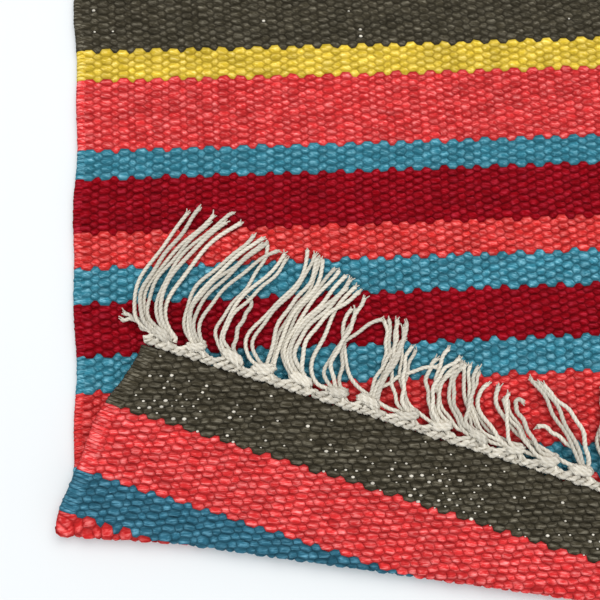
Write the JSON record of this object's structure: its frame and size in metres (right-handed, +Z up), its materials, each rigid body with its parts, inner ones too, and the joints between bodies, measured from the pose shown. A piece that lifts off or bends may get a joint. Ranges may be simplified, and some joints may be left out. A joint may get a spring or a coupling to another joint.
{
  "type": "dhurrie rug",
  "caption": "Small flat-woven striped rug lying on a floor, one end turned back at a slant, with a knotted cotton fringe along each end.",
  "frame": {"origin": "centre of the rug's outline, fringes included, on the floor that it lies on", "axes": "+X along the weft from the left selvedge to the right, +Y along the warp away from the turned-back end, +Z up"},
  "size_m": [0.5072, 0.8028, 0.0096],
  "materials": {
    "weft_stripes": "matt weft-faced plain weave, striped brown, yellow, salmon, teal, coral and crimson",
    "cotton_warp": "undyed plied cotton, slightly frayed at its cut ends"
  },
  "bodies": {
    "root": {"rug_cloth": "weft_stripes", "fringe_folded_end": "cotton_warp", "fringe_far_end": "cotton_warp"}
  },
  "joints": []
}
